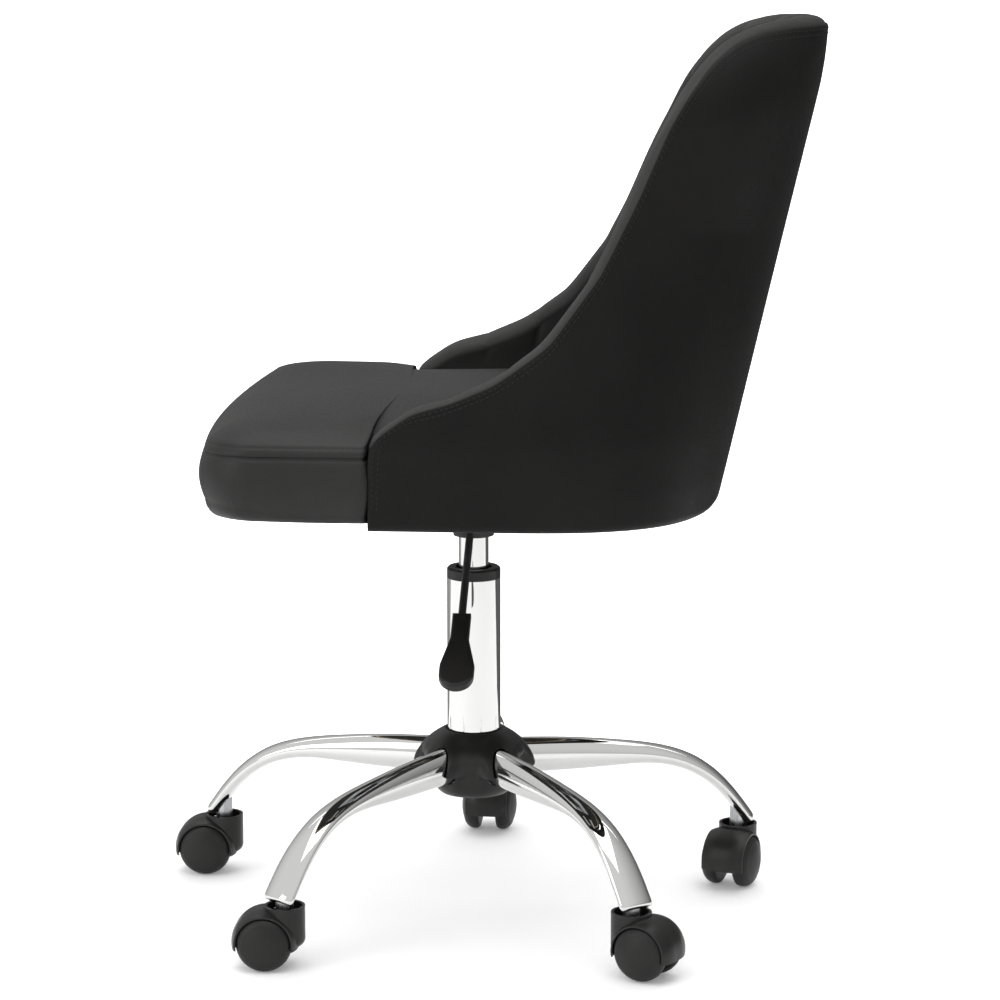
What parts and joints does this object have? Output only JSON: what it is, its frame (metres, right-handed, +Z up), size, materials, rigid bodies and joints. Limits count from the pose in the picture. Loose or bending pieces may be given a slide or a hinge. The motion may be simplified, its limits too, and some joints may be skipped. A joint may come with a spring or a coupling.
{
  "type": "rolling stylist chair",
  "caption": "Padded tub seat with side wings on a gas lift, with a height lever, a star base of swept chrome legs and hooded twin-wheel casters.",
  "frame": {"origin": "on the floor, under the gas lift's axis", "axes": "+Z up along the gas lift; the sitter faces -Y; +X is the sitter's left, the lever's side"},
  "size_m": [0.5272, 0.6165, 0.831],
  "materials": {
    "chrome": "polished chrome plate",
    "steel": "plain machined steel",
    "black_plastic": "satin moulded black",
    "caster_plastic": "smooth moulded black",
    "wheel_plastic": "hard nylon, satin black",
    "leather": "black coated leather, satin, fine grain",
    "foam": "open-cell upholstery foam",
    "board": "raw plywood",
    "dust_cloth": "thin non-woven black cloth",
    "rubber": "matt black rubber",
    "black_steel": "satin black powder coat"
  },
  "bodies": {
    "base": {"hub_core": "steel", "hub_cover": "black_plastic", "leg_1": "chrome", "leg_2": "chrome", "leg_3": "chrome", "leg_4": "chrome", "leg_5": "chrome", "stem_sockets": "steel", "column_tube": "chrome", "column_bushing": "black_plastic", "column_base_plate": "steel", "thrust_bearing": "steel"},
    "lift_rod": {"piston_rod": "steel", "rod_clip": "steel", "bump_stop": "rubber", "piston": "rubber"},
    "seat": {"gas_cylinder": "chrome", "cylinder_guide": "black_plastic", "valve_body": "steel", "mech_channel": "black_steel", "lever_pivot_pin": "steel", "seat_plate": "steel", "seat_fasteners": "steel", "seat_board": "board", "dust_cover": "dust_cloth", "seat_foam": "foam", "seat_cover": "leather", "back_frame": "board", "back_foam": "foam", "back_outer_cover": "leather", "back_inner_cover": "leather", "shell_cleats": "steel"},
    "lever": {"lever_rod": "black_steel", "lever_paddle": "black_plastic"},
    "valve_button": {"valve_pin": "steel"},
    "caster_1": {"caster_body_1": "caster_plastic", "caster_stem_1": "steel", "caster_axle_1": "steel"},
    "wheel_a_1": {"wheel_a_1": "wheel_plastic"},
    "wheel_b_1": {"wheel_b_1": "wheel_plastic"},
    "caster_2": {"caster_body_2": "caster_plastic", "caster_stem_2": "steel", "caster_axle_2": "steel"},
    "wheel_a_2": {"wheel_a_2": "wheel_plastic"},
    "wheel_b_2": {"wheel_b_2": "wheel_plastic"},
    "caster_3": {"caster_body_3": "caster_plastic", "caster_stem_3": "steel", "caster_axle_3": "steel"},
    "wheel_a_3": {"wheel_a_3": "wheel_plastic"},
    "wheel_b_3": {"wheel_b_3": "wheel_plastic"},
    "caster_4": {"caster_body_4": "caster_plastic", "caster_stem_4": "steel", "caster_axle_4": "steel"},
    "wheel_a_4": {"wheel_a_4": "wheel_plastic"},
    "wheel_b_4": {"wheel_b_4": "wheel_plastic"},
    "caster_5": {"caster_body_5": "caster_plastic", "caster_stem_5": "steel", "caster_axle_5": "steel"},
    "wheel_a_5": {"wheel_a_5": "wheel_plastic"},
    "wheel_b_5": {"wheel_b_5": "wheel_plastic"}
  },
  "joints": [
    {"name": "seat_swivel", "type": "hinge", "parent": "base", "child": "lift_rod", "pos_m": [0, 0, 0.11], "axis": [0, 0, 1], "continuous": true},
    {"name": "seat_lift", "type": "slide", "parent": "lift_rod", "child": "seat", "axis": [0, 0, 1], "range_m": [0, 0.1]},
    {"name": "lever_lift", "type": "hinge", "parent": "seat", "child": "lever", "pos_m": [0.028, 0, 0.3905], "axis": [0, -1, 0], "range_deg": [0, 6]},
    {"name": "valve_press", "type": "slide", "parent": "seat", "child": "valve_button", "axis": [0, 0, -1], "range_m": [0, 0.003], "stiffness_N_per_m": 1500},
    {"name": "caster_swivel_1", "type": "hinge", "parent": "base", "child": "caster_1", "pos_m": [-0.07736, -0.2499, 0.06], "axis": [0, 0, 1], "continuous": true},
    {"name": "wheel_a_spin_1", "type": "hinge", "parent": "caster_1", "child": "wheel_a_1", "pos_m": [-0.07736, -0.2669, 0.025], "axis": [1, 0, 0], "continuous": true},
    {"name": "wheel_b_spin_1", "type": "hinge", "parent": "caster_1", "child": "wheel_b_1", "pos_m": [-0.07736, -0.2669, 0.025], "axis": [1, 0, 0], "continuous": true},
    {"name": "caster_swivel_2", "type": "hinge", "parent": "base", "child": "caster_2", "pos_m": [0.21377, -0.1508, 0.06], "axis": [0, 0, 1], "continuous": true},
    {"name": "wheel_a_spin_2", "type": "hinge", "parent": "caster_2", "child": "wheel_a_2", "pos_m": [0.21377, -0.16779, 0.025], "axis": [1, 0, 0], "continuous": true},
    {"name": "wheel_b_spin_2", "type": "hinge", "parent": "caster_2", "child": "wheel_b_2", "pos_m": [0.21377, -0.16779, 0.025], "axis": [1, 0, 0], "continuous": true},
    {"name": "caster_swivel_3", "type": "hinge", "parent": "base", "child": "caster_3", "pos_m": [0.20947, 0.15671, 0.06], "axis": [0, 0, 1], "continuous": true},
    {"name": "wheel_a_spin_3", "type": "hinge", "parent": "caster_3", "child": "wheel_a_3", "pos_m": [0.21719, 0.17185, 0.025], "axis": [-0.891, 0.454, 0], "continuous": true},
    {"name": "wheel_b_spin_3", "type": "hinge", "parent": "caster_3", "child": "wheel_b_3", "pos_m": [0.21719, 0.17185, 0.025], "axis": [-0.891, 0.454, 0], "continuous": true},
    {"name": "caster_swivel_4", "type": "hinge", "parent": "base", "child": "caster_4", "pos_m": [-0.08431, 0.24764, 0.06], "axis": [0, 0, 1], "continuous": true},
    {"name": "wheel_a_spin_4", "type": "hinge", "parent": "caster_4", "child": "wheel_a_4", "pos_m": [-0.06833, 0.24183, 0.025], "axis": [0.342, 0.9397, 0], "continuous": true},
    {"name": "wheel_b_spin_4", "type": "hinge", "parent": "caster_4", "child": "wheel_b_4", "pos_m": [-0.06833, 0.24183, 0.025], "axis": [0.342, 0.9397, 0], "continuous": true},
    {"name": "caster_swivel_5", "type": "hinge", "parent": "base", "child": "caster_5", "pos_m": [-0.26158, -0.00365, 0.06], "axis": [0, 0, 1], "continuous": true},
    {"name": "wheel_a_spin_5", "type": "hinge", "parent": "caster_5", "child": "wheel_a_5", "pos_m": [-0.24462, -0.00484, 0.025], "axis": [0.0698, 0.9976, 0], "continuous": true},
    {"name": "wheel_b_spin_5", "type": "hinge", "parent": "caster_5", "child": "wheel_b_5", "pos_m": [-0.24462, -0.00484, 0.025], "axis": [0.0698, 0.9976, 0], "continuous": true}
  ],
  "couplings": [
    {"joint": "valve_press", "follows": "lever_lift", "m_per_rad": 0.028}
  ]
}
